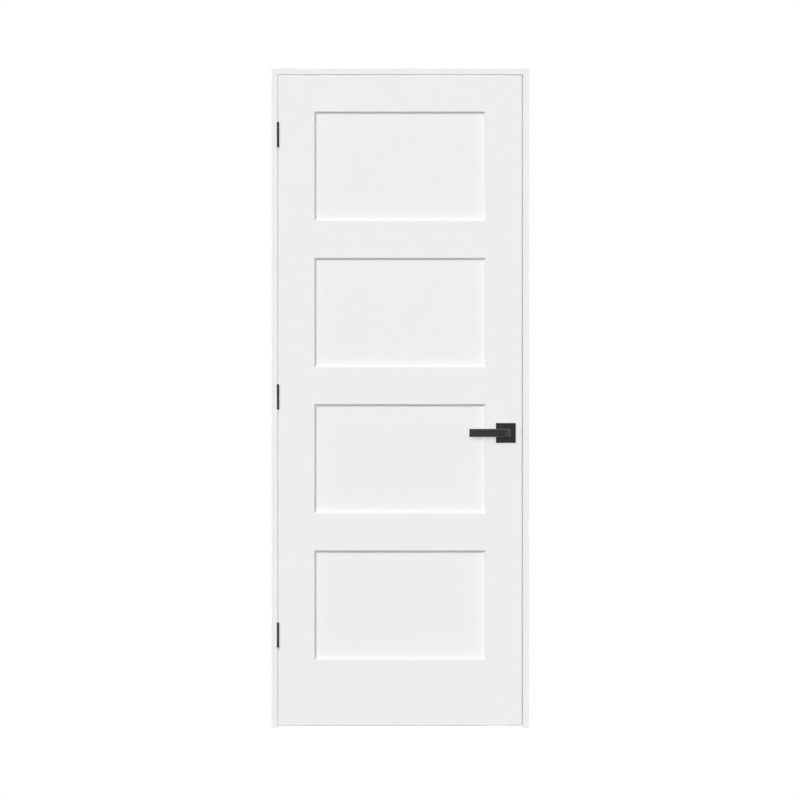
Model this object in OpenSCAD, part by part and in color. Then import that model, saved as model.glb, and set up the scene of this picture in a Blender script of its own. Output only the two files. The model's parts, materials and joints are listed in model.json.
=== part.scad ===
// Panelled door hung in its frame: a leaf of stiles, rails and four flat panels on three butt
// hinges, held shut by a spring latch that a lever on either face draws back.
// X runs across the door from the hinge side, Y from front to back and Z up.
// The origin is at floor level, midway between the jambs, on the plane of the frame's front edge.

/* [Door leaf] */
// Width of the leaf
leaf_w = 762; // [610:1:915]
// Height of the leaf
leaf_h = 2032; // [1960:1:2440]
// Thickness of the leaf
leaf_t = 35; // [34:0.5:45]
// Chamfer along the outer edges of the leaf
leaf_ease = 1.5; // [0.5:0.1:2.5]

/* [Stiles and rails] */
// Flat width of each stile, up to its bevel
stile_w = 113; // [100:1:135]
// Flat height of the top rail
top_rail_h = 114; // [95:1:150]
// Flat height of each of the three middle rails
mid_rail_h = 115; // [95:1:150]
// Flat height of the bottom rail
bottom_rail_h = 205; // [150:1:260]
// Width of the bevel round each panel
bevel_w = 6.5; // [3:0.5:10]
// Upright step between the foot of the bevel and the panel
bevel_foot = 1; // [0.5:0.1:2]
// Depth of the groove that holds the panels, from the foot of the bevel
groove_d = 12; // [9:0.5:15]
// Gap between the end of a rail's tenon and the bottom of the groove
tenon_gap = 1; // [0.5:0.1:2]

/* [Panels] */
// Thickness of each panel
panel_t = 15; // [12:0.5:18]
// Room for the panel to swell, at the bottom of the groove
panel_gap = 2; // [1:0.1:4]
// Clearance on each face of the panel in its groove
panel_fit = 0.1; // [0.05:0.01:0.3]

/* [Dowels] */
// Diameter of the dowels in the rail joints
dowel_d = 10; // [8:0.5:12]
// Length of each dowel
dowel_l = 110; // [80:1:130]
// Distance of a dowel from the edge of its rail's flat face
dowel_inset = 28; // [22:0.5:34]
// Clearance round a dowel
dowel_fit = 0.05; // [0.03:0.01:0.1]
// Glue room at each end of a dowel
dowel_end_gap = 1.5; // [0.5:0.1:3]

/* [Frame] */
// Thickness of the jambs
jamb_t = 19; // [18:0.5:32]
// Depth of the jambs, front to back
jamb_d = 116; // [100:1:200]
// Chamfer on the inner edges of the jambs
jamb_ease = 0.8; // [0.3:0.1:2]
// Gap between leaf and jamb on the hinge side
hinge_gap = 1.5; // [1.2:0.1:3]
// Gap between leaf and jamb on the latch side
latch_gap = 2.5; // [2:0.1:4]
// Gap between leaf and head
head_gap = 1.5; // [1:0.1:4]
// Height of the leaf above the feet of the jambs
floor_gap = 6.5; // [3:0.5:20]
// Depth of the housing that the head sits in, at the top of each jamb
housing_d = 9.5; // [6:0.5:12]
// Width of the planted stops, front to back
stop_w = 32; // [20:1:40]
// Thickness of the planted stops
stop_t = 11; // [8:0.5:15]
// Chamfer on the free edges of the stops
stop_ease = 2; // [0.5:0.1:3]
// Height of the side stops' feet above the feet of the jambs
stop_rise = 6.5; // [0:0.5:40]
// Gap between the back of the leaf and the stops
stop_gap = 1.5; // [1:0.1:3]

/* [Frame fasteners] */
// Diameter of the screws that hold the head in the jambs
corner_screw_d = 4.5; // [3.5:0.1:6]
// Head diameter of those screws
corner_head_d = 8.8; // [7.5:0.1:11]
// Length of those screws
corner_screw_l = 50; // [40:1:70]
// Distance of the outer corner screws from the jamb's edges
corner_inset = 18; // [12:1:30]
// Diameter of the nails that hold the stops
nail_d = 1.8; // [1.4:0.1:2.5]
// How far the nails go into the jamb
nail_hold = 14; // [8:0.5:16]
// Depth of a nail's head below the face of the stop
nail_set = 1; // [0.5:0.1:2]
// Distance of the end nails from the ends of a stop
nail_inset = 60; // [40:1:120]

/* [Hinges] */
// Height of a hinge's leaves
hinge_h = 74; // [64:1:100]
// Thickness of a hinge's leaves
hinge_leaf_t = 1.5; // [1.2:0.1:2]
// How far a hinge's leaves reach in from the face of the door
hinge_leaf_w = 27; // [22:0.5:30]
// Radius of the hinge leaves' corners
hinge_corner_r = 6; // [2:0.5:10]
// Diameter of the hinge pin
hinge_pin_d = 4; // [3.5:0.1:5]
// Radial clearance of the pin in its knuckles
hinge_pin_fit = 0.05; // [0.03:0.01:0.1]
// End play between neighbouring knuckles
knuckle_gap = 0.3; // [0.2:0.05:0.5]
// Clearance between the barrel and what it turns past
barrel_clear = 0.3; // [0.3:0.05:0.8]
// Diameter of the buttons at the ends of the pin
hinge_tip_d = 7.6; // [7:0.1:9]
// Height of those buttons
hinge_tip_h = 2.2; // [1.5:0.1:4]
// Length of the plug that holds the lower button
hinge_plug_l = 5; // [3:0.5:8]
// Top of the leaf to the middle of the upper hinge
upper_hinge_drop = 186; // [120:1:300]
// Top of the leaf to the middle of the middle hinge
middle_hinge_drop = 1005; // [850:1:1150]
// Bottom of the leaf to the middle of the lower hinge
lower_hinge_rise = 283; // [180:1:400]
// Distance of the end screws from the ends of a hinge leaf
hinge_screw_inset = 11; // [9:0.5:16]
// Face of the door to the middle screw of a hinge leaf
hinge_screw_near = 8.5; // [7.5:0.5:11]
// Face of the door to the end screws of a hinge leaf
hinge_screw_far = 18; // [14:0.5:18.5]

/* [Small screws] */
// Diameter of the hinge, strike and faceplate screws
screw_d = 3.5; // [3:0.1:4]
// Head diameter of those screws
screw_head_d = 6.8; // [6:0.1:7.2]
// Length of those screws
screw_l = 15; // [12:0.5:17]
// Clearance round every screw and nail
screw_fit = 0.05; // [0.03:0.01:0.1]

/* [Lever set] */
// Edge of the leaf to the spindle
backset = 51; // [48:0.5:70]
// Bottom of the leaf to the spindle
lever_rise = 914; // [870:1:960]
// Width and height of the square roses
rose_w = 62; // [60:0.5:70]
// Depth of a rose
rose_d = 9; // [8:0.5:12]
// Wall of a rose
rose_wall = 2; // [1.5:0.1:2.5]
// Radial clearance of a lever's shank in the hole of its rose
rose_clear = 0.3; // [0.2:0.05:0.6]
// Chamfer round the front of a rose
rose_ease = 1; // [0.5:0.1:1.5]
// Length of a lever from the spindle to its tip
lever_reach = 114; // [90:1:140]
// Length of a lever past the spindle, to its heel
lever_heel = 15.5; // [13:0.5:18]
// Height of a lever's bar
lever_h = 25.5; // [20:0.5:28]
// Thickness of a lever's bar
lever_t = 9; // [7:0.5:12]
// Face of the door to the outer face of a lever
lever_stand = 55; // [48:1:70]
// Outer radius of a lever's elbow
elbow_r = 20; // [16:0.5:23]
// Radius of the hollow between a lever's bar and its neck
armpit_r = 10; // [6:0.5:12]
// Inner side of a lever's neck, from the spindle
neck_back = 11; // [10:0.5:14]
// Chamfer on a lever's outer edges
lever_ease = 1.6; // [0.5:0.1:2]
// Gap between a lever and its rose
lever_gap = 0.5; // [0.3:0.1:1]
// Diameter of a lever's shank
shank_d = 18; // [16:0.5:19]
// How far the shank reaches behind its mounting plate
shank_in = 4; // [3:0.5:5]
// Radial clearance of the shank in its bearing
shank_fit = 0.05; // [0.03:0.01:0.1]
// Width across the flats of the square spindle
spindle_w = 8; // [7:0.1:9]
// Clearance on each side of the spindle
spindle_fit = 0.05; // [0.03:0.01:0.1]
// How far the spindle reaches out past each face of the door
spindle_out = 24; // [20:1:30]
// Diameter of the grub screw that locks a lever to the spindle
grub_d = 5; // [4:0.5:6]
// Distance of the grub screw from the base of the neck
grub_inset = 6; // [5:0.5:8]
// Depth of the grub screw below the lever's underside
grub_set = 1; // [0.5:0.1:2]

/* [Lever mounting] */
// Diameter of the hole bored through the leaf for the lever set
cross_bore_d = 54; // [51:0.5:55]
// Thickness of a mounting plate
plate_t = 3; // [2:0.1:3.5]
// Clearance between a mounting plate and the rose that snaps over it
plate_fit = 0.2; // [0.1:0.05:0.4]
// Diameter of the boss that a lever's shank turns in
boss_d = 25; // [23:0.5:28]
// Distance between the two bolts that clamp the mounting plates
bolt_span = 42; // [41:0.5:44]
// Diameter of those bolts
bolt_d = 4; // [3.5:0.1:4.5]
// Head diameter of those bolts
bolt_head_d = 7.5; // [6.5:0.1:8]
// Head height of those bolts
bolt_head_h = 2.4; // [1.8:0.1:2.6]
// Diameter of the threaded posts that the bolts go into
post_d = 7; // [6:0.1:7.4]
// Length of those posts behind the front plate
post_l = 8; // [5:0.5:8.5]
// Thickness of the retaining ring on a lever's shank
clip_t = 1.2; // [1:0.1:1.5]
// Outer diameter of the retaining ring
clip_d = 23; // [21:0.5:25]
// Depth of the groove that the retaining ring sits in
clip_groove = 1; // [0.8:0.1:1.5]
// Opening of the retaining ring
clip_mouth = 9; // [7:0.5:11]
// End play of the retaining ring
clip_gap = 0.3; // [0.2:0.05:0.5]

/* [Latch] */
// How far the bolt stands out of the leaf's edge
latch_throw = 11; // [9:0.5:12]
// Turn of the lever that draws the bolt all the way back, in degrees
lever_turn = 45; // [40:1:50]
// Diameter of the round latch bolt
latch_bolt_d = 17; // [15:0.5:18]
// Thickness across the flats of the latch bolt
latch_bolt_t = 12.5; // [11:0.5:14]
// Thickness left at the nose of the latch bolt
latch_nose = 3; // [2:0.5:4]
// Length of bolt that stays behind the edge of the leaf
latch_tail_in = 6; // [5:0.5:8]
// Clearance round the latch bolt
latch_fit = 0.3; // [0.2:0.05:0.4]
// Outer diameter of the latch case
case_d = 23; // [22:0.5:24]
// Thickness of the case's end wall
case_end_t = 2.5; // [2:0.1:3]
// Clearance of the case in its bore
case_fit = 0.2; // [0.1:0.05:0.4]
// Inner face of the case's end wall, from the spindle
case_end = 24; // [23.5:0.25:25]
// Height of the case's cheeks
cheek_h = 19; // [18:0.5:20]
// Thickness of the case's cheeks
cheek_t = 1.5; // [1:0.1:1.8]
// Clear distance between the cheeks
cheek_span = 13; // [12.5:0.1:13.5]
// How far the cheeks reach past the spindle
cheek_reach = 11; // [10:0.5:13]
// Diameter of the cam's hub
hub_d = 14; // [13:0.5:14.5]
// Radial clearance of the hub in the cheeks
hub_fit = 0.05; // [0.03:0.01:0.1]
// Diameter of the round nose of the cam
cam_nose_d = 5; // [4:0.5:5.5]
// Thickness of the cam
cam_t = 5; // [4:0.5:5.5]
// Gap between the cam's nose and the bolt's hook at rest
cam_gap = 0.4; // [0.3:0.05:0.6]
// Diameter of the rod behind the bolt
rod_d = 6; // [5:0.5:7]
// Clearance of the rod in the end wall
rod_fit = 0.3; // [0.2:0.05:0.4]
// Thickness of the bolt's hooked tail
tail_t = 2.5; // [2:0.1:2.7]
// Gap between the tail and the cam and bore beside it
tail_gap = 0.5; // [0.3:0.05:0.6]
// Length of the hook that the cam pushes
hook_l = 3.5; // [2.5:0.5:4]
// Height of the tail above the hub
tail_lift = 1; // [0.5:0.1:1.5]
// Wire of the latch spring
spring_wire = 1; // [0.8:0.1:1.2]
// Outer diameter of the latch spring
spring_d = 11; // [10:0.5:12]

/* [Faceplate and strike] */
// Width of the latch faceplate
face_w = 25; // [24:0.5:27]
// Height of the latch faceplate and of the strike plate
face_h = 57; // [52:0.5:64]
// Thickness of the faceplate and of the strike plate
face_t = 2; // [1.5:0.1:2.5]
// Corner radius of the faceplate and of the strike plate
face_corner_r = 6; // [3:0.5:8]
// Distance of the screws from the ends of those plates
face_screw_inset = 7; // [6:0.5:8]
// Clearance round a plate let into the wood
recess_fit = 0.1; // [0.05:0.05:0.2]
// Width of the strike plate, without its lip
strike_w = 25; // [24:0.5:26]
// Height of the strike's lip
strike_lip_h = 32; // [26:0.5:38]
// Distance of the lip's end from the front edge of the jamb
strike_lip_back = 1.5; // [1:0.1:3]
// Room above and below the bolt in the strike
strike_room = 1.5; // [1:0.1:3]
// Room in front of the bolt in the strike
strike_front = 0.6; // [0.4:0.1:1]
// Room behind the bolt in the strike
strike_back = 3; // [2:0.1:4]
// Diameter of the pocket drilled in the jamb behind the strike
strike_pocket_d = 23; // [22.5:0.5:24]
// Depth of that pocket from the face of the jamb
strike_pocket = 12; // [11:0.5:14]

/* [Hidden] */
$fn = 64;

// Overlap of a cutting tool past the face it cuts
past = 1;

// Outside of the frame and the place of the leaf in it
frame_w = leaf_w + hinge_gap + latch_gap + 2 * jamb_t;
leaf_left = -frame_w / 2 + jamb_t + hinge_gap;
leaf_right = leaf_left + leaf_w;
leaf_foot = floor_gap;
leaf_top = leaf_foot + leaf_h;
hinge_face = leaf_left - hinge_gap;
latch_face = leaf_right + latch_gap;
head_face = leaf_top + head_gap;
frame_h = head_face + jamb_t;
stop_y = leaf_t + stop_gap;

// Rails and panels, counted from the bottom
panel_rows = 4;
panel_h = (leaf_h - top_rail_h - bottom_rail_h - (panel_rows - 1) * mid_rail_h) / panel_rows;
panel_y = (leaf_t - panel_t) / 2;
groove_y = panel_y - panel_fit;
bevel_d = groove_y - bevel_foot;
shoulder_left = leaf_left + stile_w + bevel_w;
shoulder_right = leaf_right - stile_w - bevel_w;
tenon_l = groove_d - tenon_gap;
panel_in = groove_d - panel_gap;

function rail_h(i) = i == 0 ? bottom_rail_h : i == panel_rows ? top_rail_h : mid_rail_h;
function rail_z(i) = leaf_foot + (i == 0 ? 0 : bottom_rail_h + i * panel_h + (i - 1) * mid_rail_h);

// Hinges
knuckles = 5;
barrel_r = hinge_pin_d / 2 + hinge_leaf_t;
hinge_x = leaf_left - hinge_gap / 2;
hinge_y = -barrel_r - barrel_clear;
hinge_z = [leaf_top - upper_hinge_drop, leaf_top - middle_hinge_drop, leaf_foot + lower_hinge_rise];
knuckle_l = (hinge_h - (knuckles - 1) * knuckle_gap) / knuckles;
hinge_screws = [
    [hinge_screw_far, hinge_h / 2 - hinge_screw_inset],
    [hinge_screw_near, 0],
    [hinge_screw_far, hinge_screw_inset - hinge_h / 2]
];

// Lever set and latch, measured from the spindle at the middle of the leaf's thickness
lock_x = leaf_right - backset;
lock_y = leaf_t / 2;
lock_z = leaf_foot + lever_rise;
plate_w = rose_w - 2 * rose_wall - 2 * plate_fit;
neck_foot = rose_d + lever_gap;
boss_l = rose_d - rose_wall - plate_fit;
bolt_back = backset - latch_tail_in;
bolt_nose = backset + latch_throw;
tail_z = hub_d / 2 + tail_lift;
cam_r = latch_throw / lever_turn * 180 / PI;
tail_top = cam_r + cam_nose_d / 2;
tail_y = cam_t / 2 + tail_gap;
tail_web = hub_d / 2 + latch_throw + tail_lift;
spring_coils = 5;
face_screw_z = face_h / 2 - face_screw_inset;

// Colours
paint = "whitesmoke";
timber = "burlywood";
black = "dimgray";
steel = "silver";

// Extrudes an outline drawn in Y and Z along X
module along_x(l) {
    rotate([90, 0, 90])
        linear_extrude(l)
            children();
}

// Extrudes an outline drawn in X and Z along Y
module along_y(l) {
    translate([0, l, 0])
        rotate([90, 0, 0])
            linear_extrude(l)
                children();
}

// A box between two opposite corners
module box(low, high) {
    translate(low)
        cube(high - low);
}

// A round rod along X
module rod_x(d, l) {
    rotate([0, 90, 0])
        cylinder(d = d, h = l);
}

// A round rod along Y
module rod_y(d, l) {
    rotate([-90, 0, 0])
        cylinder(d = d, h = l);
}

// A plate's outline from the origin, with its two far corners rounded
module tab_outline(l, h, r) {
    translate([0, -h / 2])
        square([l - r, h]);
    translate([0, r - h / 2])
        square([l, h - 2 * r]);
    for (side = [-1, 1])
        translate([l - r, side * (h / 2 - r)])
            circle(r);
}

// A plate's outline about the origin, with all corners rounded
module plate_outline(w, h, r) {
    for (side = [0, 1])
        mirror([side, 0])
            tab_outline(w / 2, h, r);
}

// A countersunk screw, point down, with its head's face at the origin; grow makes it a hole
module screw(d, head_d, l, grow = 0) {
    rotate_extrude()
        polygon([
            [0, 0],
            [head_d / 2 + grow, 0],
            [d / 2 + grow, (d - head_d) / 2],
            [d / 2 + grow, d / 2 - l - grow],
            [0, -l - grow]
        ]);
    if (grow > 0)
        cylinder(d = head_d + 2 * grow, h = past);
}

// Small screw with its head at the origin and its point towards -X or +X
module small_screw(side, grow = 0) {
    rotate([0, -90 * side, 0])
        screw(screw_d, screw_head_d, screw_l, grow);
}

// Outline of the leaf from the side, with its edges eased
module leaf_side_outline() {
    polygon([
        [leaf_ease, leaf_foot],
        [leaf_t - leaf_ease, leaf_foot],
        [leaf_t, leaf_foot + leaf_ease],
        [leaf_t, leaf_top - leaf_ease],
        [leaf_t - leaf_ease, leaf_top],
        [leaf_ease, leaf_top],
        [0, leaf_top - leaf_ease],
        [0, leaf_foot + leaf_ease]
    ]);
}

// Section of a stile, from the outer edge of the leaf inwards: bevels and a groove for the panels
module stile_outline() {
    foot = stile_w + bevel_w;
    polygon([
        [leaf_ease, 0],
        [stile_w, 0],
        [foot, bevel_d],
        [foot, groove_y],
        [foot - groove_d, groove_y],
        [foot - groove_d, leaf_t - groove_y],
        [foot, leaf_t - groove_y],
        [foot, leaf_t - bevel_d],
        [stile_w, leaf_t],
        [leaf_ease, leaf_t],
        [0, leaf_t - leaf_ease],
        [0, leaf_ease]
    ]);
}

// A stile before it is bored: side is 1 on the hinge edge and -1 on the latch edge
module stile_blank(side) {
    intersection() {
        translate([side > 0 ? leaf_left : leaf_right, 0, leaf_foot])
            mirror([side > 0 ? 0 : 1, 0, 0])
                linear_extrude(leaf_h)
                    stile_outline();
        translate([leaf_left, 0, 0])
            along_x(leaf_w)
                leaf_side_outline();
    }
}

// Points along one edge of a rail, from front to back: plain, or a bevel and a groove for the panel
function rail_edge(h, plain) =
    let (foot = h + bevel_w)
        plain ? [[0, h], [leaf_t, h]] : [
            [0, h],
            [bevel_d, foot],
            [groove_y, foot],
            [groove_y, foot - groove_d],
            [leaf_t - groove_y, foot - groove_d],
            [leaf_t - groove_y, foot],
            [leaf_t - bevel_d, foot],
            [leaf_t, h]
        ];

// Section of a rail about its middle
module rail_outline(i) {
    half = rail_h(i) / 2;
    upper = rail_edge(half, i == panel_rows);
    lower = rail_edge(half, i == 0);
    polygon(concat(upper, [for (k = [len(lower) - 1 : -1 : 0]) [lower[k][0], -lower[k][1]]]));
}

// A rail before it is drilled, coped at both ends over the bevels of the stiles
module rail_blank(i) {
    difference() {
        intersection() {
            translate([shoulder_left - tenon_l, 0, rail_z(i) + rail_h(i) / 2])
                along_x(shoulder_right - shoulder_left + 2 * tenon_l)
                    rail_outline(i);
            translate([leaf_left, 0, 0])
                along_x(leaf_w)
                    leaf_side_outline();
        }
        stile_blank(1);
        stile_blank(-1);
    }
}

// Heights of the dowels in a rail
function dowel_z(i) = [
    rail_z(i) + dowel_inset,
    if (i == 0) rail_z(i) + rail_h(i) / 2,
    rail_z(i) + rail_h(i) - dowel_inset
];

// The dowels of one rail; grow and longer make them holes
module dowels(i, grow = 0, longer = 0) {
    for (x = [shoulder_left, shoulder_right], z = dowel_z(i))
        translate([x - dowel_l / 2 - longer, leaf_t / 2, z])
            rod_x(dowel_d + 2 * grow, dowel_l + 2 * longer);
}

module dowel_holes(i) {
    dowels(i, dowel_fit, dowel_end_gap);
}

// Puts a shape at each of the three hinges, on its pin's axis
module at_hinge(i) {
    translate([hinge_x, hinge_y, hinge_z[i]])
        children();
}

// One knuckle of the barrel, counted from the bottom
module knuckle(i, r, play) {
    translate([0, 0, i * (knuckle_l + knuckle_gap) - hinge_h / 2 - play])
        cylinder(r = r, h = knuckle_l + 2 * play);
}

// Flat part of a hinge leaf: side is -1 on the jamb and 1 on the door; grow makes it a recess
module hinge_flap(side, grow = 0) {
    deep = hinge_leaf_t;
    translate([side > 0 ? hinge_gap / 2 : -hinge_gap / 2 - deep, 0, 0])
        along_x(deep)
            tab_outline(hinge_leaf_w - hinge_y + grow, hinge_h + 2 * grow, hinge_corner_r);
}

// The three screws of a hinge leaf; grow makes them holes
module hinge_leaf_screws(side, grow = 0) {
    for (p = hinge_screws)
        translate([side * hinge_gap / 2, p[0] - hinge_y, p[1]])
            small_screw(side, grow);
}

// A hinge leaf: its flap, its own knuckles and room for the knuckles of the other leaf
module hinge_leaf(side) {
    own = side < 0 ? 0 : 1;
    difference() {
        union() {
            hinge_flap(side);
            for (i = [own : 2 : knuckles - 1])
                knuckle(i, barrel_r, 0);
        }
        for (i = [1 - own : 2 : knuckles - 1])
            knuckle(i, barrel_r + barrel_clear, knuckle_gap);
        translate([0, 0, -hinge_h / 2 - past])
            cylinder(d = hinge_pin_d + 2 * hinge_pin_fit, h = hinge_h + 2 * past);
        hinge_leaf_screws(side, screw_fit);
    }
}

// What a hinge leaf and its screws take out of the wood
module hinge_recess(side) {
    hinge_flap(side, recess_fit);
    hinge_leaf_screws(side, screw_fit);
}

// A button on the end of the barrel, rounded off in two steps
module hinge_button() {
    land = hinge_tip_h / 2;
    cylinder(d = hinge_tip_d, h = land);
    translate([0, 0, land])
        cylinder(d1 = hinge_tip_d, d2 = hinge_pin_d, h = hinge_tip_h - land);
}

// A hinge pin, driven in from the top
module hinge_pin(i) {
    foot = hinge_plug_l + knuckle_gap - hinge_h / 2;
    color(black)
        at_hinge(i) {
            translate([0, 0, foot])
                cylinder(d = hinge_pin_d, h = hinge_h / 2 - foot);
            translate([0, 0, hinge_h / 2])
                hinge_button();
        }
}

// The lower buttons, plugged into the bottom knuckles
module hinge_pin_tips() {
    color(black)
        for (i = [0 : len(hinge_z) - 1])
            at_hinge(i)
                translate([0, 0, -hinge_h / 2])
                    mirror([0, 0, 1]) {
                        hinge_button();
                        translate([0, 0, -hinge_plug_l])
                            cylinder(d = hinge_pin_d, h = hinge_plug_l);
                    }
}

module frame_hinge_leaf(i) {
    color(black)
        at_hinge(i)
            hinge_leaf(-1);
}

module door_hinge_leaf(i) {
    color(black)
        at_hinge(i)
            hinge_leaf(1);
}

module frame_hinge_screws() {
    color(black)
        for (i = [0 : len(hinge_z) - 1])
            at_hinge(i)
                hinge_leaf_screws(-1);
}

module door_hinge_screws() {
    color(black)
        for (i = [0 : len(hinge_z) - 1])
            at_hinge(i)
                hinge_leaf_screws(1);
}

// Section of a jamb from its inner face outwards, with its inner edges eased
module jamb_outline() {
    polygon([
        [0, jamb_ease],
        [jamb_ease, 0],
        [jamb_t, 0],
        [jamb_t, jamb_d],
        [jamb_ease, jamb_d],
        [0, jamb_d - jamb_ease]
    ]);
}

// A side jamb: side is -1 on the hinge side and 1 on the latch side
module side_jamb(side) {
    difference() {
        translate([side < 0 ? hinge_face : latch_face, 0, 0])
            mirror([side < 0 ? 1 : 0, 0, 0])
                linear_extrude(frame_h)
                    jamb_outline();
        head_blank();
        corner_screw_set(screw_fit);
        nail_set_all(screw_fit);
    }
}

// The head before it is drilled, long enough to fill both housings
module head_blank() {
    translate([hinge_face - housing_d, 0, head_face])
        along_x(latch_face - hinge_face + 2 * housing_d)
            rotate(90)
                mirror([0, 1])
                    jamb_outline();
}

// Screws through the jambs into the ends of the head; grow makes them holes
module corner_screw_set(grow = 0) {
    for (side = [-1, 1], y = [corner_inset, jamb_d / 2, jamb_d - corner_inset])
        translate([side * frame_w / 2, y, frame_h - jamb_t / 2])
            rotate([0, 90 * side, 0])
                screw(corner_screw_d, corner_head_d, corner_screw_l, grow);
}

// Section of a stop from the jamb inwards, with its free edges eased
module stop_outline() {
    polygon([
        [0, stop_y],
        [stop_t - stop_ease, stop_y],
        [stop_t, stop_y + stop_ease],
        [stop_t, stop_y + stop_w - stop_ease],
        [stop_t - stop_ease, stop_y + stop_w],
        [0, stop_y + stop_w]
    ]);
}

// A side stop, which butts against the head stop
module side_stop(side) {
    color(paint)
        difference() {
            translate([side < 0 ? hinge_face : latch_face, 0, stop_rise])
                mirror([side < 0 ? 0 : 1, 0, 0])
                    linear_extrude(head_face - stop_t - stop_rise)
                        stop_outline();
            nail_set_all(screw_fit);
        }
}

// A nail through a stop into its jamb, pointing up Z from the jamb's face; grow makes it a hole
module stop_nail(grow) {
    head = stop_t + (grow > 0 ? past : -nail_set);
    translate([0, 0, -head])
        cylinder(d = nail_d + 2 * grow, h = head + nail_hold);
}

// All the nails of the three stops; grow makes them holes
module nail_set_all(grow = 0) {
    nail_y = stop_y + stop_w / 2;
    side_rows = 5;
    side_foot = stop_rise + nail_inset;
    side_step = (head_face - stop_t - nail_inset - side_foot) / (side_rows - 1);
    head_rows = 3;
    head_step = (latch_face - hinge_face - 2 * nail_inset) / (head_rows - 1);
    for (k = [0 : side_rows - 1]) {
        translate([hinge_face, nail_y, side_foot + k * side_step])
            rotate([0, -90, 0])
                stop_nail(grow);
        translate([latch_face, nail_y, side_foot + k * side_step])
            rotate([0, 90, 0])
                stop_nail(grow);
    }
    for (k = [0 : head_rows - 1])
        translate([hinge_face + nail_inset + k * head_step, nail_y, head_face])
            stop_nail(grow);
}

module hinge_jamb() {
    color(paint)
        difference() {
            side_jamb(-1);
            for (i = [0 : len(hinge_z) - 1])
                at_hinge(i)
                    hinge_recess(-1);
        }
}

module latch_jamb() {
    color(paint)
        difference() {
            side_jamb(1);
            strike_recess();
        }
}

module head_jamb() {
    color(paint)
        difference() {
            head_blank();
            corner_screw_set(screw_fit);
            nail_set_all(screw_fit);
        }
}

module hinge_stop() {
    side_stop(-1);
}

module latch_stop() {
    side_stop(1);
}

module head_stop() {
    color(paint)
        difference() {
            translate([hinge_face, 0, head_face])
                along_x(latch_face - hinge_face)
                    rotate(-90)
                        stop_outline();
            nail_set_all(screw_fit);
        }
}

module stop_nails() {
    color(steel)
        nail_set_all();
}

module corner_screws() {
    color(steel)
        corner_screw_set();
}

// Outline of the strike: a plate with round corners and a lip towards the front edge of the jamb
module strike_outline(grow = 0) {
    translate([lock_y, 0])
        plate_outline(strike_w + 2 * grow, face_h + 2 * grow, face_corner_r);
    translate([strike_lip_back - grow, -strike_lip_h / 2 - grow])
        square([lock_y - strike_lip_back + grow, strike_lip_h + 2 * grow]);
}

// Puts a shape at the strike, on the face of the latch jamb
module at_strike() {
    translate([latch_face, 0, lock_z])
        children();
}

// The screws of the strike or, with grow, their holes
module strike_screw_set(grow = 0) {
    at_strike()
        for (side = [-1, 1])
            translate([0, lock_y, side * face_screw_z])
                small_screw(1, grow);
}

// What the strike, its screws and the bolt take out of the jamb
module strike_recess() {
    at_strike() {
        along_x(face_t)
            strike_outline(recess_fit);
        translate([0, lock_y, 0])
            rod_x(strike_pocket_d, strike_pocket);
    }
    strike_screw_set(screw_fit);
}

module strike_plate() {
    hole_h = latch_bolt_d + 2 * strike_room;
    color(black)
        difference() {
            at_strike()
                along_x(face_t)
                    difference() {
                        strike_outline();
                        translate([lock_y - latch_bolt_t / 2 - strike_front, -hole_h / 2])
                            square([latch_bolt_t + strike_front + strike_back, hole_h]);
                    }
            strike_screw_set(screw_fit);
        }
}

module strike_screws() {
    color(black)
        strike_screw_set();
}

module hinge_stile() {
    color(paint)
        difference() {
            stile_blank(1);
            for (i = [0 : panel_rows])
                dowel_holes(i);
            for (i = [0 : len(hinge_z) - 1])
                at_hinge(i)
                    hinge_recess(1);
        }
}

module latch_stile() {
    color(paint)
        difference() {
            stile_blank(-1);
            for (i = [0 : panel_rows])
                dowel_holes(i);
            latch_bores();
        }
}

module rail(i) {
    color(paint)
        difference() {
            rail_blank(i);
            dowel_holes(i);
        }
}

// A flat panel, held in the grooves on all four sides
module panel(i) {
    low = rail_z(i) + rail_h(i) + bevel_w - panel_in;
    high = rail_z(i + 1) - bevel_w + panel_in;
    left = shoulder_left - panel_in;
    right = shoulder_right + panel_in;
    color(paint)
        box([left, panel_y, low], [right, leaf_t - panel_y, high]);
}

module rail_dowels() {
    color(timber)
        for (i = [0 : panel_rows])
            dowels(i);
}

// Puts a shape at the spindle, in the middle of the leaf's thickness
module at_lock() {
    translate([lock_x, lock_y, lock_z])
        children();
}

// Puts a shape drawn on the front face at the spindle, or its mirror image on the back face
module on_face(back) {
    translate([lock_x, back ? leaf_t : 0, lock_z])
        mirror([0, back ? 1 : 0, 0])
            children();
}

// The screws of the faceplate or, with grow, their holes
module faceplate_screw_set(grow = 0) {
    at_lock()
        for (side = [-1, 1])
            translate([backset, 0, side * face_screw_z])
                small_screw(-1, grow);
}

// The bores and the recess in the latch stile
module latch_bores() {
    translate([lock_x, -past, lock_z])
        rod_y(cross_bore_d, leaf_t + 2 * past);
    at_lock() {
        rod_x(case_d + 2 * case_fit, backset + past);
        translate([backset - face_t, 0, 0])
            along_x(face_t + past)
                plate_outline(face_w + 2 * recess_fit, face_h + 2 * recess_fit, face_corner_r);
    }
    faceplate_screw_set(screw_fit);
}

// Section of the latch bolt: round above and below, flat in front and behind
module bolt_outline(grow = 0) {
    intersection() {
        circle(d = latch_bolt_d + 2 * grow);
        square([latch_bolt_t + 2 * grow, latch_bolt_d + 4 * grow], center = true);
    }
}

module latch_faceplate() {
    color(black)
        difference() {
            at_lock()
                translate([backset - face_t, 0, 0])
                    along_x(face_t)
                        difference() {
                            plate_outline(face_w, face_h, face_corner_r);
                            bolt_outline(latch_fit);
                        }
            faceplate_screw_set(screw_fit);
        }
}

module faceplate_screws() {
    color(black)
        faceplate_screw_set();
}

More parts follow.
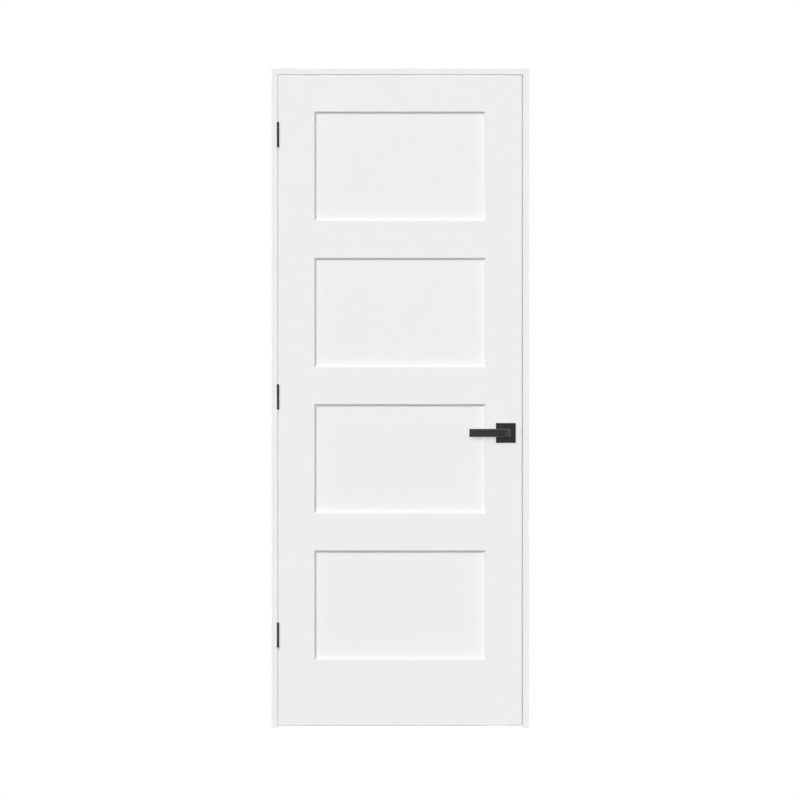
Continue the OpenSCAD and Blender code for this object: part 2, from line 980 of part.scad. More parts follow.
// Sleeve of the latch, with an end wall for the spring and two cheeks that carry the cam
module latch_case() {
    sleeve_l = backset - face_t - case_end;
    cheek_mid = (cheek_span + cheek_t) / 2;
    color(steel)
        at_lock()
            difference() {
                union() {
                    translate([case_end, 0, 0])
                        rod_x(case_d, sleeve_l);
                    for (side = [-1, 1])
                        translate([-cheek_reach, side * cheek_mid - cheek_t / 2, -cheek_h / 2])
                            cube([cheek_reach + case_end, cheek_t, cheek_h]);
                }
                translate([case_end + case_end_t, 0, 0])
                    rod_x(latch_bolt_d + 2 * latch_fit, sleeve_l);
                translate([case_end - past, 0, 0])
                    rod_x(rod_d + 2 * rod_fit, case_end_t + 2 * past);
                translate([0, -case_d, 0])
                    rod_y(hub_d + 2 * hub_fit, 2 * case_d);
            }
}

// Round spring bolt: bevelled nose, rod through the spring and a tail hooked over the cam
module latch_bolt() {
    half_t = latch_bolt_t / 2;
    hook_face = -cam_nose_d / 2 - cam_gap;
    web_end = sqrt(pow(cross_bore_d / 2 - tail_gap, 2) - pow(tail_top, 2));
    color(steel)
        at_lock() {
            intersection() {
                translate([bolt_back, 0, 0])
                    along_x(bolt_nose - bolt_back)
                        bolt_outline();
                translate([0, 0, -latch_bolt_d])
                    linear_extrude(2 * latch_bolt_d)
                        polygon([
                            [bolt_back, -half_t],
                            [bolt_nose, -half_t],
                            [bolt_nose, latch_nose - half_t],
                            [backset, half_t],
                            [bolt_back, half_t]
                        ]);
            }
            translate([tail_web, 0, 0])
                rod_x(rod_d, bolt_back - tail_web);
            box([tail_web, -rod_d / 2, -rod_d / 2], [web_end, tail_y + tail_t, tail_top]);
            box([hook_face - hook_l, tail_y, tail_z], [web_end, tail_y + tail_t, tail_top]);
            box([hook_face - hook_l, -cam_t / 2, tail_z], [hook_face, tail_y + tail_t, tail_top]);
        }
}

// Points round the wire at one place along the latch spring
function spring_ring(k, steps, sides) =
    let (
        turn = 360 * spring_coils * k / steps,
        coil_r = (spring_d - spring_wire) / 2,
        span = bolt_back - case_end - case_end_t - spring_wire,
        x = case_end + case_end_t + spring_wire / 2 + span * k / steps
    ) [
        for (s = [0 : sides - 1])
            let (a = 360 * s / sides, r = coil_r + spring_wire / 2 * cos(a))
                [x + spring_wire / 2 * sin(a), r * cos(turn), r * sin(turn)]
    ];

// Coil spring between the end wall of the case and the back of the bolt
module latch_spring() {
    coil_steps = 16;
    steps = coil_steps * spring_coils;
    sides = 8;
    points = [for (k = [0 : steps]) each spring_ring(k, steps, sides)];
    wall = [
        for (k = [0 : steps - 1], s = [0 : sides - 1])
            let (a = k * sides + s, b = k * sides + (s + 1) % sides)
                [a, b, b + sides, a + sides]
    ];
    ends = [[for (s = [sides - 1 : -1 : 0]) s], [for (s = [0 : sides - 1]) steps * sides + s]];
    color(steel)
        at_lock()
            polyhedron(points, concat(wall, ends));
}

// Cam on the spindle: a hub that turns in the cheeks, with a round-nosed arm above it
module latch_cam() {
    hub_l = cheek_span + 2 * cheek_t;
    hole = spindle_w + 2 * spindle_fit;
    color(steel)
        at_lock()
            difference() {
                union() {
                    translate([0, -hub_l / 2, 0])
                        rod_y(hub_d, hub_l);
                    translate([0, -cam_t / 2, cam_r])
                        rod_y(cam_nose_d, cam_t);
                    box([-cam_nose_d / 2, -cam_t / 2, 0], [cam_nose_d / 2, cam_t / 2, cam_r]);
                }
                box([-hole / 2, -hub_l, -hole / 2], [hole / 2, hub_l, hole / 2]);
            }
}

module spindle() {
    color(steel)
        box(
            [lock_x - spindle_w / 2, -spindle_out, lock_z - spindle_w / 2],
            [lock_x + spindle_w / 2, leaf_t + spindle_out, lock_z + spindle_w / 2]
        );
}

// Section of a rose: a square with the corners at its front chamfered
module rose_outline() {
    half = rose_w / 2;
    polygon([
        [-half, 0],
        [-half, rose_ease - rose_d],
        [rose_ease - half, -rose_d],
        [half - rose_ease, -rose_d],
        [half, rose_ease - rose_d],
        [half, 0]
    ]);
}

// Hollow square cover that snaps over the mounting plate
module rose(back) {
    hollow = rose_w / 2 - rose_wall;
    color(black)
        on_face(back)
            difference() {
                intersection() {
                    translate([0, 0, -rose_w / 2])
                        linear_extrude(rose_w)
                            rose_outline();
                    translate([-rose_w / 2, 0, 0])
                        along_x(rose_w)
                            rotate(-90)
                                rose_outline();
                }
                box([-hollow, rose_wall - rose_d, -hollow], [hollow, past, hollow]);
                translate([0, -rose_d - past, 0])
                    rod_y(shank_d + 2 * rose_clear, rose_d + 2 * past);
            }
}

// Mounting plate with the bearing for the lever's shank
module rose_plate(back) {
    color(steel)
        on_face(back)
            difference() {
                union() {
                    box([-plate_w / 2, -plate_t, -plate_w / 2], [plate_w / 2, 0, plate_w / 2]);
                    translate([0, -boss_l, 0])
                        rod_y(boss_d, boss_l);
                    if (!back)
                        for (side = [-1, 1])
                            translate([0, 0, side * bolt_span / 2])
                                rod_y(post_d, post_l);
                }
                translate([0, -rose_d, 0])
                    rod_y(shank_d + 2 * shank_fit, 2 * rose_d);
                for (side = [-1, 1])
                    translate([0, -rose_d, side * bolt_span / 2])
                        rod_y(bolt_d + 2 * screw_fit, 2 * rose_d + post_l);
            }
}

// Two bolts that clamp the mounting plates on the leaf, with their heads under the back rose
module rose_bolts() {
    seat = leaf_t + plate_t;
    color(steel)
        for (side = [-1, 1])
            translate([lock_x, 0, lock_z + side * bolt_span / 2]) {
                rod_y(bolt_d, seat);
                translate([0, seat, 0])
                    rod_y(bolt_head_d, bolt_head_h);
            }
}

// Section of a lever's bar in Y and Z, with its outer edges chamfered
module lever_bar_outline() {
    half = lever_h / 2;
    polygon([
        [lever_ease - lever_stand, -half],
        [lever_t - lever_stand, -half],
        [lever_t - lever_stand, half],
        [lever_ease - lever_stand, half],
        [-lever_stand, half - lever_ease],
        [-lever_stand, lever_ease - half]
    ]);
}

// Half section of an elbow or a neck from its inner side to its chamfered outer side
module lever_turn_outline(r) {
    half = lever_h / 2;
    polygon([
        [0, -half],
        [r - lever_ease, -half],
        [r, lever_ease - half],
        [r, half - lever_ease],
        [r - lever_ease, half],
        [0, half]
    ]);
}

// A lever: bar, quarter-round elbow, neck and a round shank with a square socket
module lever(back) {
    bend_x = lever_heel - elbow_r;
    bend_y = elbow_r - lever_stand;
    bar_back = lever_t - lever_stand;
    socket = spindle_w / 2 + spindle_fit;
    color(black)
        on_face(back)
            difference() {
                union() {
                    translate([-lever_reach, 0, 0])
                        along_x(lever_reach + bend_x)
                            lever_bar_outline();
                    translate([bend_x, bend_y, 0])
                        rotate(-90)
                            rotate_extrude(angle = 90)
                                lever_turn_outline(elbow_r);
                    translate([bend_x, bend_y, 0])
                        along_y(-neck_foot - bend_y)
                            lever_turn_outline(elbow_r);
                    box([-neck_back, bar_back, -lever_h / 2], [bend_x, -neck_foot, lever_h / 2]);
                    translate([0, 0, -lever_h / 2])
                        linear_extrude(lever_h)
                            difference() {
                                translate([-neck_back - armpit_r, bar_back])
                                    square(armpit_r);
                                translate([-neck_back - armpit_r, bar_back + armpit_r])
                                    circle(armpit_r);
                            }
                    translate([0, -neck_foot, 0])
                        rod_y(shank_d, neck_foot + shank_in);
                }
                translate([0, clip_gap, 0])
                    difference() {
                        rod_y(shank_d + past, clip_t);
                        translate([0, -past, 0])
                            rod_y(shank_d - 2 * clip_groove, clip_t + 2 * past);
                    }
                box([-socket, -spindle_out - past, -socket], [socket, shank_in + past, socket]);
                translate([0, -neck_foot - grub_inset, -lever_h / 2 - past])
                    cylinder(d = grub_d + 2 * screw_fit, h = lever_h / 2 + past);
            }
}

// Open retaining rings that keep the levers in their mounting plates
module lever_clips() {
    color(steel)
        for (back = [false, true])
            on_face(back)
                translate([0, clip_gap, 0])
                    difference() {
                        rod_y(clip_d, clip_t);
                        translate([0, -past, 0])
                            rod_y(shank_d - 2 * clip_groove + 2 * shank_fit, clip_t + 2 * past);
                        box([-clip_mouth / 2, -past, -clip_d], [clip_mouth / 2, clip_t + past, 0]);
                    }
}

// Grub screws that lock the levers on the spindle from below
module lever_grub_screws() {
    color(steel)
        for (back = [false, true])
            on_face(back)
                translate([0, -neck_foot - grub_inset, grub_set - lever_h / 2])
                    cylinder(d = grub_d, h = lever_h / 2 - grub_set - spindle_w / 2);
}

module front_rose() {
    rose(false);
}

module back_rose() {
    rose(true);
}

module front_rose_plate() {
    rose_plate(false);
}

module back_rose_plate() {
    rose_plate(true);
}

module front_lever() {
    lever(false);
}

module back_lever() {
    lever(true);
}

hinge_jamb();
latch_jamb();
head_jamb();
hinge_stop();
latch_stop();
head_stop();
stop_nails();
corner_screws();
frame_hinge_leaf(0);  // upper_frame_hinge_leaf
frame_hinge_leaf(1);  // middle_frame_hinge_leaf
frame_hinge_leaf(2);  // lower_frame_hinge_leaf
hinge_pin(0);  // upper_hinge_pin
hinge_pin(1);  // middle_hinge_pin
hinge_pin(2);  // lower_hinge_pin
hinge_pin_tips();
frame_hinge_screws();
strike_plate();
strike_screws();
hinge_stile();
latch_stile();
rail(4);  // top_rail
rail(3);  // upper_rail
rail(2);  // middle_rail
rail(1);  // lower_rail
rail(0);  // bottom_rail
panel(3);  // top_panel
panel(2);  // upper_panel
panel(1);  // lower_panel
panel(0);  // bottom_panel
rail_dowels();
door_hinge_leaf(0);  // upper_door_hinge_leaf
door_hinge_leaf(1);  // middle_door_hinge_leaf
door_hinge_leaf(2);  // lower_door_hinge_leaf
door_hinge_screws();
latch_case();
latch_spring();
latch_faceplate();
faceplate_screws();
front_rose();
back_rose();
front_rose_plate();
back_rose_plate();
rose_bolts();
front_lever();
back_lever();
spindle();
latch_cam();
lever_clips();
lever_grub_screws();
latch_bolt();
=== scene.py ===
import json
import math

import bmesh
import bpy
from mathutils import Matrix, Vector

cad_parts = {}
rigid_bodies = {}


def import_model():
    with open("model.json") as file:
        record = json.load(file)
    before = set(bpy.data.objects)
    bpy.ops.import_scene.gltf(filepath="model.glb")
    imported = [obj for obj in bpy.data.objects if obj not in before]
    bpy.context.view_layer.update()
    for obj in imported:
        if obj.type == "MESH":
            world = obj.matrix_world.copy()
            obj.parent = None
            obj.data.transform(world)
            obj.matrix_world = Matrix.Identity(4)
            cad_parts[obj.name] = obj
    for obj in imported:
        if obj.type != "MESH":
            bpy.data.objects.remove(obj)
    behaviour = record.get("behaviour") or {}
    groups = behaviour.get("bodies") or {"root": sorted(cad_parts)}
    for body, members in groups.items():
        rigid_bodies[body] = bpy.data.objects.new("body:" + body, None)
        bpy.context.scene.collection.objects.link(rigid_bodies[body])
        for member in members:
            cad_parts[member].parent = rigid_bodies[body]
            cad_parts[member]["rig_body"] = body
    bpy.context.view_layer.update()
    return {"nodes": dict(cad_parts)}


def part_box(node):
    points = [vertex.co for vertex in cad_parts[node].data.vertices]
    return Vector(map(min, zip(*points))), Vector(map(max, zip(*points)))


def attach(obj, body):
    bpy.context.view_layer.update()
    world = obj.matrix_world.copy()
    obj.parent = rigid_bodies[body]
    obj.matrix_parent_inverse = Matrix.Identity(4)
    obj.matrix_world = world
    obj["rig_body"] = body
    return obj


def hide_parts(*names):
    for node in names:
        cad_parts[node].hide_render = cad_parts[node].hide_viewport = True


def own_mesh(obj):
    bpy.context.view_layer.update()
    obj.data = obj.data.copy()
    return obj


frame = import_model()


# Jambs: two uprights and a head of softwood, housed and screwed at the corners, primed and sprayed
# with satin white paint. Their inner edges are eased with a pass of sandpaper so that they hold paint.
class Wire:
    """A socket of a finish's nodes. Sums and products of wires and numbers add Math nodes."""

    def __init__(self, tree, socket=None):
        self.tree = tree
        self.socket = socket

    def node(self, kind, settings, sockets, out=0):
        made = self.tree.nodes.new(kind)
        for name, value in settings.items():
            setattr(made, name, value)
        for name, value in sockets.items():
            if isinstance(value, Wire):
                self.tree.links.new(value.socket, made.inputs[name])
            else:
                made.inputs[name].default_value = value
        return Wire(self.tree, made.outputs[out] if made.outputs else None)

    def maths(self, operation, first, second):
        return self.node("ShaderNodeMath", {"operation": operation}, {0: first, 1: second})

    def __add__(self, other):
        return self.maths("ADD", self, other)

    def __sub__(self, other):
        return self.maths("SUBTRACT", self, other)

    def __rsub__(self, other):
        return self.maths("SUBTRACT", other, self)

    def __mul__(self, other):
        return self.maths("MULTIPLY", self, other)

    __radd__ = __add__
    __rmul__ = __mul__

    def noise(self, scale, detail=2.0, rough=0.5):
        """Noise at this place: scale is its features per metre along X, Y and Z."""
        stretched = self.node("ShaderNodeMapping", {}, {"Vector": self, "Scale": scale})
        return self.node("ShaderNodeTexNoise", {}, {"Vector": stretched, "Scale": 1.0, "Detail": detail,
                                                    "Roughness": rough})

    def blend(self, low, high):
        """A colour from low to high as this value goes from 0 to 1."""
        return self.node("ShaderNodeMix", {"data_type": "RGBA"}, {0: self, 6: low, 7: high}, 2)


def start_finish(name):
    """An empty material, and the place on the piece in metres."""
    made = bpy.data.materials.new(name)
    made.use_nodes = True
    made.node_tree.nodes.clear()
    return made, Wire(made.node_tree).node("ShaderNodeTexCoord", {}, {}, "Object")


def end_finish(made, height, depth, sockets):
    """Gives the material its shader, with a relief of the given depth in metres."""
    relief = height.node("ShaderNodeBump", {}, {"Height": height, "Strength": 1.0, "Distance": depth})
    shader = height.node("ShaderNodeBsdfPrincipled", {}, {"Normal": relief, **sockets})
    height.node("ShaderNodeOutputMaterial", {}, {"Surface": shader})
    return made


def paint(name, grain):
    """Satin white: a fine spray stipple over the faint grain of the wood.

    grain is the wood's features per metre along X, Y and Z. The wood shows bare in drilled pockets."""
    made, place = start_finish(name)
    stipple = place.noise((480, 480, 480), 3.0)
    fibres = place.noise(grain, 4.0, 0.6)
    cloud = place.noise((2.5, 2.5, 2.5), 2.0)
    bare = place.node("ShaderNodeAttribute", {"attribute_name": "bare"}, {}, "Fac")
    coat = cloud.blend((0.866, 0.866, 0.866, 1), (0.882, 0.882, 0.881, 1))
    pine = fibres.blend((0.52, 0.34, 0.17, 1), (0.74, 0.56, 0.34, 1))
    relief_depth = 0.00012
    return end_finish(made, stipple * 0.6 + fibres * 0.4, relief_depth, {
        "Base Color": bare.blend(coat, pine),
        "Roughness": stipple * 0.18 + bare * 0.25 + 0.32,
        "Specular IOR Level": 0.35,
    })


def merged(node):
    """A CAD node's surface as one mesh, with no needless edges on its flats."""
    same_place, flat = 1e-5, math.radians(0.3)
    bm = bmesh.new()
    bm.from_mesh(frame["nodes"][node].data)
    bmesh.ops.remove_doubles(bm, verts=bm.verts, dist=same_place)
    bmesh.ops.dissolve_limit(bm, angle_limit=flat, verts=bm.verts, edges=bm.edges)
    return bm


def show(bm, name, body, finish, nodes):
    """Makes a finished mesh a piece that rides on a body and stands for CAD nodes.

    Its corners and faces are put in order of place, so that every run gives the same mesh."""
    crease = math.radians(40)
    for count, vert in enumerate(sorted(bm.verts, key=lambda vert: tuple(vert.co))):
        vert.index = count
    for count, face in enumerate(sorted(bm.faces, key=lambda face: tuple(face.calc_center_median()))):
        face.index = count
    bm.verts.sort()
    bm.faces.sort()
    mesh = bpy.data.meshes.new(name)
    bm.to_mesh(mesh)
    bm.free()
    mesh.shade_smooth()
    mesh.set_sharp_from_angle(angle=crease)
    mesh.materials.append(finish)
    piece = bpy.data.objects.new(name, mesh)
    bpy.context.scene.collection.objects.link(piece)
    weighted = piece.modifiers.new("flats", "WEIGHTED_NORMAL")
    weighted.keep_sharp = True
    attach(piece, body)
    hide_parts(*nodes)
    return piece


def soften(node, slot, finish, radius, shortest=0.003, segments=3, clamp=True, lever_wear_and_highlight=False, behind=None):
    """A copy of a CAD node with its sharp edges rounded, where they are longer than shortest.

    For the finish, a lever has its edges and chamfers marked paler, as wear and as a painted highlight,
    and is marked paler more and more towards its free end and, as a painted highlight, round the outside
    of its elbow. The faces of a pocket that is cut behind a plate are marked as bare."""
    sharp_angle = math.radians(25)
    chamfer_tilt = (0.3, 0.95)
    upright_tilt = 0.3
    free_end_paling = 0.1
    bm = merged(node)
    wear_and_painted_highlight = bm.faces.layers.float.new("wear_and_painted_highlight")
    painted_elbow_highlight_and_end_paling = bm.verts.layers.float.new("painted_elbow_highlight_and_end_paling")
    bare = bm.faces.layers.float.new("bare")
    if behind:
        low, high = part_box(behind)
        for face in bm.faces:
            centre = face.calc_center_median()
            face[bare] = float(all(low[k] < centre[k] < high[k] for k in (1, 2)))
    # Chamfers of a lever are marked paler: wear, and a painted highlight.
    if lever_wear_and_highlight:
        for face in bm.faces:
            face[wear_and_painted_highlight] = float(chamfer_tilt[0] < abs(face.normal.z) < chamfer_tilt[1])
    sharp = [edge for edge in bm.edges if edge.is_manifold and edge.calc_face_angle() > sharp_angle
             and edge.calc_length() > shortest]
    rounds = bmesh.ops.bevel(bm, geom=sharp, offset=radius, offset_type="OFFSET", affect="EDGES",
                             segments=segments, profile=0.5, material=-1, clamp_overlap=clamp,
                             loop_slide=True)["faces"]
    # Rounded edges of a lever are marked paler: wear, and a painted highlight.
    for face in rounds:
        face[wear_and_painted_highlight] = float(lever_wear_and_highlight)
    if lever_wear_and_highlight:
        low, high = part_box(node)
        leaf_middle = sum(corner[1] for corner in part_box("latch_stile")) / 2
        outer = max(low[1], high[1], key=lambda y: abs(y - leaf_middle))
        bm.normal_update()
        for vert in bm.verts:
            # Paler more and more towards the free end.
            paling = free_end_paling * (high[0] - vert.co.x) / (high[0] - low[0])
            stand_off = 1 - abs(vert.co.y - outer) / (high[1] - low[1])
            # Painted highlight: upright faces that look to +X, mostly the outside of the elbow, are marked
            # paler.
            elbow = vert.normal.x * stand_off if abs(vert.normal.z) < upright_tilt else 0.0
            vert[painted_elbow_highlight_and_end_paling] = max(paling, elbow)
    return show(bm, node + "_finished", frame["nodes"][node]["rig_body"], finish, [node])


upright_paint = paint("white_paint_on_uprights", (420, 420, 9))
level_paint = paint("white_paint_on_rails", (9, 420, 420))
sanded = 0.0006
soften("hinge_jamb", "painted_wood", upright_paint, sanded)
soften("latch_jamb", "painted_wood", upright_paint, sanded, behind="strike_plate")
soften("head_jamb", "painted_wood", level_paint, sanded)


# Stops: strips of the same softwood nailed round the inside of the jambs for the leaf to shut against,
# with their free edges rounded over before painting.
rounded_over = 0.0014
for node in ("hinge_stop", "latch_stop"):
    soften(node, "painted_wood", upright_paint, rounded_over)
soften("head_stop", "painted_wood", level_paint, rounded_over)


# Stop nails: thin zinc-plated steel brads through stops into jambs, driven with a nail set until their
# heads sit below the paint.
def steel(name, lines):
    """Bright zinc plating over drawn or pressed steel, with the faint lines of its working."""
    made, place = start_finish(name)
    drawn = place.noise(lines, 3.0, 0.6)
    cloud = place.noise((260, 260, 260), 2.0)
    line_depth = 0.00001
    return end_finish(made, drawn, line_depth, {
        "Base Color": cloud.blend((0.4, 0.405, 0.41, 1), (0.48, 0.48, 0.475, 1)),
        "Metallic": 1.0,
        "Roughness": drawn * 0.14 + cloud * 0.1 + 0.2,
    })


cross_steel = steel("zinc_drawn_across", (60, 4000, 4000))
deep_steel = steel("zinc_drawn_through", (4000, 60, 4000))
frame["nodes"]["stop_nails"].material_slots[0].material = cross_steel


# Corner screws: countersunk steel wood screws with a cross recess, three through each jamb into the
# end grain of the head.
def islands(node):
    """Lowest and highest corner of each loose solid of a CAD node."""
    bm = merged(node)
    left = dict.fromkeys(bm.verts)
    found = []
    while left:
        reached = [left.popitem()[0]]
        for vert in reached:
            for edge in vert.link_edges:
                other = edge.other_vert(vert)
                if other in left:
                    del left[other]
                    reached.append(other)
        spans = [[v.co[k] for v in reached] for k in range(3)]
        found.append((Vector(min(s) for s in spans), Vector(max(s) for s in spans)))
    bm.free()
    return found


def cross_screws(node, slot, finish, head_d, shank_d, facing=0):
    """Screws along X in the places of a CAD node's: a head with a sunk cross, countersunk, shank and point.

    The heads look to +X where facing is 1, to -X where it is -1, and away from the middle where it is 0."""
    half_slot, half_cross = head_d * 0.075, head_d * 0.29
    sunk_depth, floor_share = head_d * 0.22, 0.6
    quarter = [(half_slot, half_slot), (half_slot, half_cross), (-half_slot, half_cross)]
    corners = [((x, y), (-y, x), (-x, -y), (y, -x))[turn] for turn in range(4) for x, y in quarter]
    bm = bmesh.new()
    for low, high in islands(node):
        side = facing or (1 if low.x > 0 else -1)
        length = high.x - low.x
        rim = bmesh.ops.create_circle(bm, segments=40, radius=head_d / 2)["verts"]
        rim_edges = list(dict.fromkeys(edge for vert in rim for edge in vert.link_edges))
        cross = [bm.verts.new((x, y, 0)) for x, y in corners]
        cross_edges = [bm.edges.new((cross[k - 1], cross[k])) for k in range(len(cross))]
        bmesh.ops.triangle_fill(bm, use_beauty=True, edges=rim_edges + cross_edges)
        sunk = bmesh.ops.extrude_edge_only(bm, edges=cross_edges)["geom"]
        floor = [part for part in sunk if isinstance(part, bmesh.types.BMVert)]
        floor_edges = [part for part in sunk if isinstance(part, bmesh.types.BMEdge) and part.is_boundary]
        bmesh.ops.scale(bm, verts=floor, vec=(floor_share, floor_share, 1))
        bmesh.ops.translate(bm, verts=floor, vec=(0, 0, -sunk_depth))
        bmesh.ops.edgeloop_fill(bm, edges=floor_edges)
        made = rim + cross + floor
        edges = rim_edges
        countersink, shoulder, tip = (head_d - shank_d) / 2, length - shank_d / 2, shank_d * 0.02
        for radius, depth in ((shank_d / 2, countersink), (shank_d / 2, shoulder), (tip, length)):
            grown = bmesh.ops.extrude_edge_only(bm, edges=edges)["geom"]
            ring = [part for part in grown if isinstance(part, bmesh.types.BMVert)]
            edges = [part for part in grown if isinstance(part, bmesh.types.BMEdge) and part.is_boundary]
            for vert in ring:
                vert.co = Vector((vert.co.x, vert.co.y, 0)).normalized() * radius + Vector((0, 0, -depth))
            made += ring
        bmesh.ops.edgeloop_fill(bm, edges=edges)
        turn = Matrix.Rotation(math.radians(90 * side), 4, "Y")
        head = Vector((high.x if side > 0 else low.x, (low.y + high.y) / 2, (low.z + high.z) / 2))
        bmesh.ops.transform(bm, matrix=Matrix.Translation(head) @ turn, verts=made)
    bmesh.ops.recalc_face_normals(bm, faces=bm.faces)
    return show(bm, node + "_finished", frame["nodes"][node]["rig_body"], finish, [node])


cross_screws("corner_screws", "steel", cross_steel, head_d=0.0088, shank_d=0.0045)


# Hinges: pressed steel butts, rolled round a loose pin, let flush into jamb and stile and finished in a
# baked matt black coat with a fine grain. The pin's button ends are turned to a low dome.
def black_coat(name):
    """Baked black coat: very fine grain, a little unevenly matt, paler and smoother on marked faces. The
    paler colour is wear and a painted highlight on a lever's edges and chamfers, a painted highlight round
    the outside of its elbow, and paling towards its free end.
    """
    made, place = start_finish(name)
    grain = place.noise((2600, 2600, 2600), 2.0)
    cloud = place.noise((70, 70, 70), 3.0)
    wear_and_painted_highlight = place.node("ShaderNodeAttribute", {"attribute_name": "wear_and_painted_highlight"}, {}, "Fac")
    painted_elbow_highlight_and_end_paling = place.node("ShaderNodeAttribute", {"attribute_name": "painted_elbow_highlight_and_end_paling"}, {}, "Fac")
    # Paler grey on marked faces: wear and painted highlight on edges and chamfers, painted highlight on the
    # elbow's outside, and paling towards the free end.
    wear_and_painted_highlight = place.maths("MAXIMUM", wear_and_painted_highlight, painted_elbow_highlight_and_end_paling) * (cloud * 0.8 + 0.5)
    coat = cloud.blend((0.0085, 0.0085, 0.009, 1), (0.0135, 0.0135, 0.014, 1))
    grain_depth = 0.000025
    return end_finish(made, grain, grain_depth, {
        "Base Color": wear_and_painted_highlight.blend(coat, (0.13, 0.13, 0.13, 1)),
        "Roughness": grain * 0.12 + cloud * 0.1 - wear_and_painted_highlight * 0.08 + 0.3,
        "Specular IOR Level": 0.2,
    })


black = black_coat("black_coat")
for level in ("upper", "middle", "lower"):
    for side in ("frame", "door"):
        soften(f"{level}_{side}_hinge_leaf", "black_metal", black, radius=0.00014, shortest=0.0002,
               segments=2, clamp=False)


def domed_buttons(node, sign, shank_d):
    """Turned pin ends in the places of a CAD node's, each with its shank.

    sign is 1 where the domes look up and -1 where they look down."""
    tall = 0.0022
    dome = ((0, 0), (0.45, 0.06), (0.75, 0.22), (0.93, 0.45), (1, 0.7), (0.97, 0.9), (0.9, 1))
    same_place = 1e-7
    bm = bmesh.new()
    for low, high in islands(node):
        centre = Vector(((low.x + high.x) / 2, (low.y + high.y) / 2, 0))
        radius = (high.x - low.x) / 2
        end, foot = (high.z, low.z) if sign > 0 else (low.z, high.z)
        profile = [(radius * out, end - sign * tall * down) for out, down in dome]
        profile += [(shank_d / 2, end - sign * tall), (shank_d / 2, foot), (0, foot)]
        verts = [bm.verts.new(centre + Vector((x, 0, z))) for x, z in profile]
        edges = [bm.edges.new(pair) for pair in zip(verts, verts[1:])]
        bmesh.ops.spin(bm, geom=verts + edges, cent=centre, axis=(0, 0, 1), angle=math.tau, steps=48,
                       use_merge=True)
    bmesh.ops.remove_doubles(bm, verts=bm.verts, dist=same_place)
    bmesh.ops.recalc_face_normals(bm, faces=bm.faces)
    return show(bm, node + "_finished", frame["nodes"][node]["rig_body"], black, [node])


pin_d = 0.004
for level in ("upper", "middle", "lower"):
    domed_buttons(f"{level}_hinge_pin", 1, pin_d)
domed_buttons("hinge_pin_tips", -1, pin_d)
small_screw = {"head_d": 0.0068, "shank_d": 0.0035}
cross_screws("frame_hinge_screws", "black_metal", black, **small_screw, facing=1)
cross_screws("door_hinge_screws", "black_metal", black, **small_screw, facing=-1)


# Strike: a plate with a lip, stamped from steel sheet and coated black, let into the latch jamb over a
# drilled pocket and held by two screws.
stamped = {"radius": 0.0003, "shortest": 0.0004, "segments": 2}
soften("strike_plate", "black_metal", black, **stamped)
cross_screws("strike_screws", "black_metal", black, **small_screw, facing=-1)


# Leaf frame: two stiles and five rails, coped, dowelled and glued, then sanded flush and sprayed white.
# The joints show only as hairlines, and the bevels keep a small soft edge.
eased = 0.0004
for node in ("hinge_stile", "latch_stile"):
    soften(node, "painted_wood", upright_paint, eased)
for node in ("top_rail", "upper_rail", "middle_rail", "lower_rail", "bottom_rail"):
    soften(node, "painted_wood", level_paint, eased)


# Panels: flat fibreboard, loose in the grooves of stiles and rails, with the same paint over a smooth
# face that has no grain.
panel_paint = paint("white_paint_on_panels", (500, 500, 500))
for node in ("top_panel", "upper_panel", "lower_panel", "bottom_panel"):
    frame["nodes"][node].material_slots[0].material = panel_paint


# Dowels: turned beech pegs, glued into rails and stiles where they join, hidden inside the leaf and
# unpainted.
def beech(name):
    """Bare beech, with its fibres along X."""
    made, place = start_finish(name)
    fibres = place.noise((25, 900, 900), 4.0, 0.6)
    fibre_depth = 0.00008
    return end_finish(made, fibres, fibre_depth, {
        "Base Color": fibres.blend((0.46, 0.29, 0.15, 1), (0.72, 0.53, 0.33, 1)),
        "Roughness": fibres * 0.2 + 0.5,
    })


frame["nodes"]["rail_dowels"].material_slots[0].material = beech("bare_beech")


# Latch: a pressed steel case in the edge bore, a cam on the spindle and a round bolt with a bevelled nose,
# behind a black faceplate held by two screws. A coil spring sits on the bolt's rod.
soften("latch_bolt", "steel", cross_steel, radius=0.0006, shortest=0.0008)
for node in ("latch_case", "latch_cam"):
    frame["nodes"][node].material_slots[0].material = cross_steel
spring = show(merged("latch_spring"), "latch_spring_finished", "leaf", cross_steel, ["latch_spring"])
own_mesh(spring)
soften("latch_faceplate", "black_metal", black, **stamped)
cross_screws("faceplate_screws", "black_metal", black, **small_screw, facing=1)


# Roses: square covers drawn from sheet steel, snapped over mounting plates that two bolts clamp through
# the leaf, and coated black.
handles = []
for node in ("front_rose", "back_rose"):
    handles.append(soften(node, "black_metal", black, radius=0.0004, shortest=0.01))
for node in ("front_rose_plate", "back_rose_plate", "rose_bolts"):
    frame["nodes"][node].material_slots[0].material = deep_steel


# Levers: flat cast bars that turn back into a square neck through a round elbow, with a narrow chamfer
# along the outer edges. They share a square spindle, each held by a retaining ring and a grub screw.
# Their edges and chamfers are coloured paler as wear and as a painted highlight, the outside of the elbow
# carries a painted highlight, and the bars grow paler towards the free end.
for node in ("front_lever", "back_lever"):
    handles.append(soften(node, "black_metal", black, radius=0.0008, shortest=0.0012, lever_wear_and_highlight=True))
for node in ("spindle", "lever_clips", "lever_grub_screws"):
    frame["nodes"][node].material_slots[0].material = deep_steel


# Studio: a pale floor that throws back little light, a white surround, a broad lamp above the hinge side
# in front, another above the latch side behind and a weak, narrow one near the camera's line. The handles
# are left out of the broad lamps' shadows and alone cast the narrow lamp's, which lies tight beside them.
def looked_at(wire):
    """1 for rays from the camera, off a shine or through a pane, 0 for light that falls on the object."""
    seen = wire.node("ShaderNodeLightPath", {}, {}, "Is Camera Ray")
    for ray in ("Is Glossy Ray", "Is Transmission Ray"):
        seen = wire.maths("MAXIMUM", seen, wire.node("ShaderNodeLightPath", {}, {}, ray))
    return seen


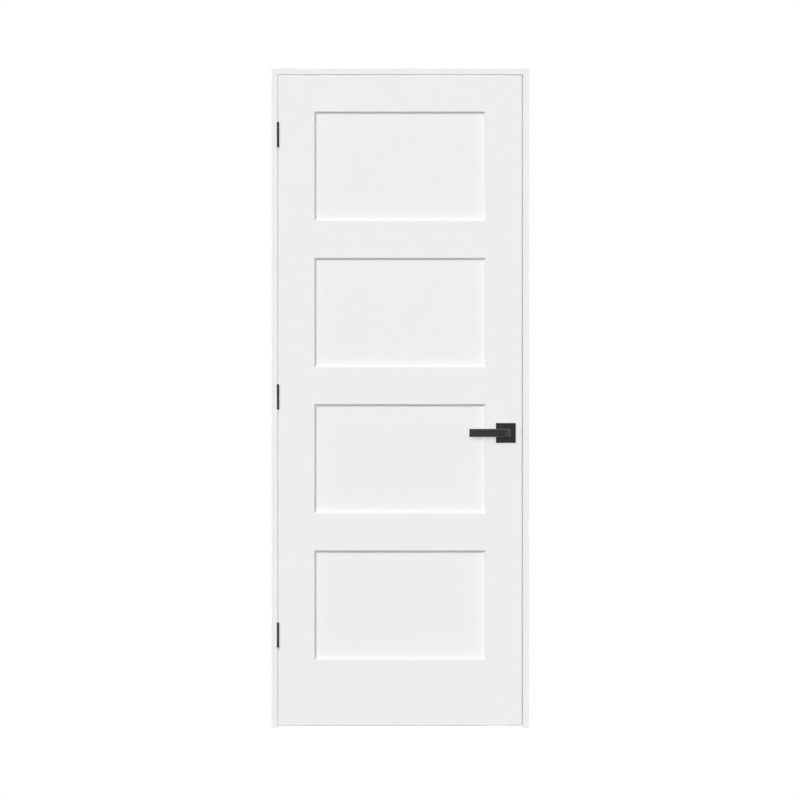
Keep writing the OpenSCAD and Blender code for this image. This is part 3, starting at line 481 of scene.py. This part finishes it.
floor_radius, floor_drop = 24, 0.0002
bm = bmesh.new()
bmesh.ops.create_circle(bm, cap_ends=True, segments=96, radius=floor_radius)
bmesh.ops.translate(bm, verts=bm.verts, vec=(0, 0, -floor_drop))
floor_mesh = bpy.data.meshes.new("studio_floor")
bm.to_mesh(floor_mesh)
bm.free()
floor_finish, place = start_finish("studio_floor")
seen = looked_at(place)
floor_colour = seen.blend((0.05, 0.05, 0.05, 1), (0.97, 0.97, 0.97, 1))
matt = place.node("ShaderNodeBsdfDiffuse", {}, {"Color": floor_colour})
lift = place.node("ShaderNodeEmission", {}, {"Strength": seen * 0.17})
whole = place.node("ShaderNodeAddShader", {}, {0: matt, 1: lift})
place.node("ShaderNodeOutputMaterial", {}, {"Surface": whole})
floor_mesh.materials.append(floor_finish)
studio_floor = bpy.data.objects.new("studio_floor", floor_mesh)
bpy.context.scene.collection.objects.link(studio_floor)

ambient = 0.2
surround = bpy.data.worlds.new("studio_surround")
surround.use_nodes = True
surround.node_tree.nodes.clear()
sky = Wire(surround.node_tree)
strength = looked_at(sky) * (1 - ambient) + ambient
glow = sky.node("ShaderNodeBackground", {}, {"Color": (1, 1, 1, 1), "Strength": strength})
sky.node("ShaderNodeOutputWorld", {}, {"Surface": glow})
bpy.context.scene.world = surround

blockers = {}
for state in ("INCLUDE", "EXCLUDE"):
    blockers[state] = bpy.data.collections.new("shadows_" + state.lower() + "_handles")
    for piece in handles:
        blockers[state].objects.link(piece)
    for row in blockers[state].collection_objects:
        row.light_linking.link_state = state
# Each lamp: the way to it, as long as it is strong, its width in degrees, and what the handles do to it.
for name, pull, spread, state in (("front_fill", (-0.05, -0.28, 0.037), 11, "INCLUDE"),
                                  ("front_light", (-0.19, -0.55, 0.325), 56, "EXCLUDE"),
                                  ("back_light", (0.3, 0.68, 0.3), 60, "EXCLUDE")):
    pull = Vector(pull)
    lamp_data = bpy.data.lights.new(name, "SUN")
    lamp_data.energy = math.pi * pull.length
    lamp_data.angle = math.radians(spread)
    lamp = bpy.data.objects.new(name, lamp_data)
    lamp.rotation_euler = pull.to_track_quat("Z", "Y").to_euler()
    lamp.visible_glossy = state == "EXCLUDE"
    lamp.light_linking.blocker_collection = blockers[state]
    bpy.context.scene.collection.objects.link(lamp)

view_data = bpy.data.cameras.new("front_view")
view_data.type = "ORTHO"
view_data.ortho_scale = 2.499
view = bpy.data.objects.new("front_view", view_data)
view.location = (-0.001, -5, 1.0234)
view.rotation_euler = (math.radians(90), 0, 0)
bpy.context.scene.collection.objects.link(view)
bpy.context.scene.camera = view
bpy.context.scene.view_settings.view_transform = "Standard"
